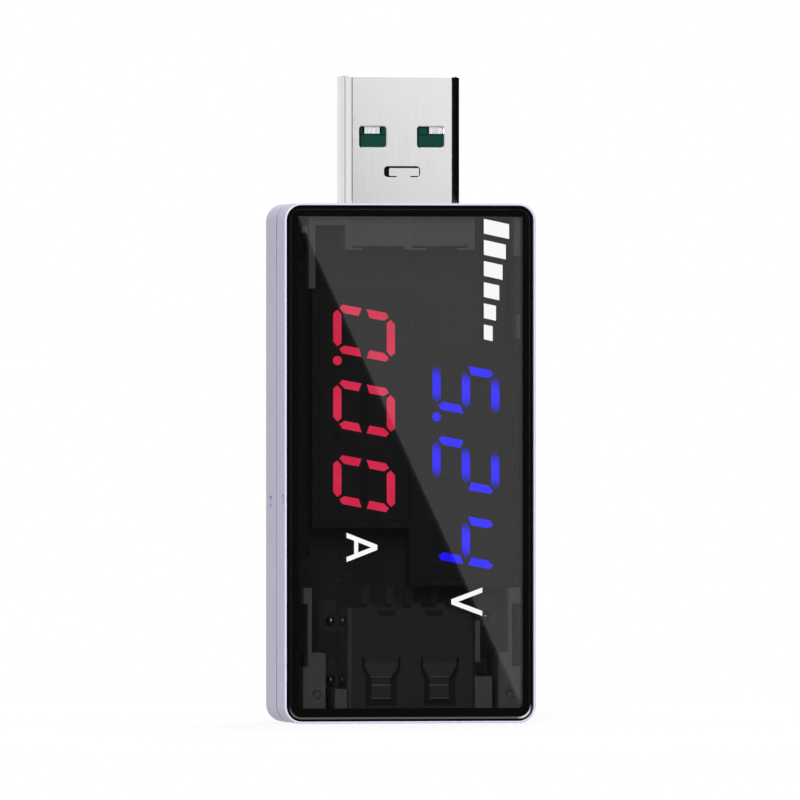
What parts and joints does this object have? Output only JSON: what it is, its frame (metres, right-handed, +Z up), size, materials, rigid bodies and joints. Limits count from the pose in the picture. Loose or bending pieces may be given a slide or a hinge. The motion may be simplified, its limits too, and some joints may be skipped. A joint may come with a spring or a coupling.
{
  "type": "usb power meter",
  "caption": "Slim plug-through voltage and current meter with a plug at one end, a socket at the other, and red and blue digit readouts behind a smoked window.",
  "frame": {"origin": "centre of the socket end's flat face, at the middle of the body's width and thickness", "axes": "+Z up along the body towards the plug, -Y out of the readout window, +X to the right seen from the front"},
  "size_m": [0.0258, 0.012, 0.0656],
  "materials": {
    "housing_plastic": "fine satin, off-white with a lavender tint",
    "smoked_window": "polished smoked acrylic",
    "black_adhesive": "matt black foam tape",
    "holder_plastic": "satin dark grey",
    "display_face": "satin black",
    "segment_red": "lit translucent red",
    "segment_blue": "lit translucent blue",
    "segment_dark": "unlit translucent grey",
    "board_black": "black solder mask",
    "chip_black": "moulded epoxy",
    "capacitor_body": "sintered tan",
    "tinned_metal": "tinned, bright",
    "nickel_plate": "polished nickel",
    "spring_steel": "nickel-plated spring steel",
    "gold_plate": "gold flash over nickel",
    "insulator_green": "dark green moulding",
    "insulator_dark": "dark grey moulding"
  },
  "bodies": {
    "meter_body": {"front_frame": "housing_plastic", "rear_shell": "housing_plastic", "window_lens": "smoked_window", "window_adhesive": "black_adhesive", "display_holder": "holder_plastic", "current_display_case": "display_face", "current_segments_lit": "segment_red", "current_segments_dark": "segment_dark", "current_display_pins": "tinned_metal", "voltage_display_case": "display_face", "voltage_segments_lit": "segment_blue", "voltage_segments_dark": "segment_dark", "voltage_display_pins": "tinned_metal", "circuit_board": "board_black", "microcontroller": "chip_black", "microcontroller_leads": "tinned_metal", "voltage_regulator": "chip_black", "regulator_leads": "tinned_metal", "shunt_resistor": "chip_black", "shunt_end_caps": "tinned_metal", "chip_resistors": "chip_black", "chip_capacitors": "capacitor_body", "chip_end_caps": "tinned_metal", "plug_shell": "nickel_plate", "plug_insulator": "insulator_green", "plug_contact_vbus": "gold_plate", "plug_contact_data_minus": "gold_plate", "plug_contact_data_plus": "gold_plate", "plug_contact_ground": "gold_plate", "socket_shell": "nickel_plate", "socket_insulator": "insulator_dark", "socket_terminals": "tinned_metal", "solder_joints": "tinned_metal"},
    "contact_vbus": {"socket_spring_vbus": "gold_plate"},
    "contact_data_minus": {"socket_spring_data_minus": "gold_plate"},
    "contact_data_plus": {"socket_spring_data_plus": "gold_plate"},
    "contact_ground": {"socket_spring_ground": "gold_plate"},
    "finger_front_left": {"shell_spring_front_left": "spring_steel"},
    "finger_front_right": {"shell_spring_front_right": "spring_steel"},
    "finger_rear_left": {"shell_spring_rear_left": "spring_steel"},
    "finger_rear_right": {"shell_spring_rear_right": "spring_steel"}
  },
  "joints": [
    {"name": "contact_vbus_flex", "type": "hinge", "parent": "meter_body", "child": "contact_vbus", "pos_m": [-0.0032, -0.00189, 0.0086], "axis": [-1, 0, 0], "range_deg": [0, 5], "stiffness_Nm_per_rad": 0.06},
    {"name": "contact_data_minus_flex", "type": "hinge", "parent": "meter_body", "child": "contact_data_minus", "pos_m": [-0.0007, -0.00189, 0.0086], "axis": [-1, 0, 0], "range_deg": [0, 5], "stiffness_Nm_per_rad": 0.06},
    {"name": "contact_data_plus_flex", "type": "hinge", "parent": "meter_body", "child": "contact_data_plus", "pos_m": [0.0013, -0.00189, 0.0086], "axis": [-1, 0, 0], "range_deg": [0, 5], "stiffness_Nm_per_rad": 0.06},
    {"name": "contact_ground_flex", "type": "hinge", "parent": "meter_body", "child": "contact_ground", "pos_m": [0.0038, -0.00189, 0.0086], "axis": [-1, 0, 0], "range_deg": [0, 5], "stiffness_Nm_per_rad": 0.06},
    {"name": "finger_front_left_flex", "type": "hinge", "parent": "meter_body", "child": "finger_front_left", "pos_m": [-0.0027, -0.00425, 0.00663], "axis": [-1, 0, 0], "range_deg": [0, 7], "stiffness_Nm_per_rad": 0.04},
    {"name": "finger_front_right_flex", "type": "hinge", "parent": "meter_body", "child": "finger_front_right", "pos_m": [0.0033, -0.00425, 0.00663], "axis": [-1, 0, 0], "range_deg": [0, 7], "stiffness_Nm_per_rad": 0.04},
    {"name": "finger_rear_left_flex", "type": "hinge", "parent": "meter_body", "child": "finger_rear_left", "pos_m": [-0.0027, 0.00117, 0.00663], "axis": [1, 0, 0], "range_deg": [0, 7], "stiffness_Nm_per_rad": 0.04},
    {"name": "finger_rear_right_flex", "type": "hinge", "parent": "meter_body", "child": "finger_rear_right", "pos_m": [0.0033, 0.00117, 0.00663], "axis": [1, 0, 0], "range_deg": [0, 7], "stiffness_Nm_per_rad": 0.04}
  ]
}
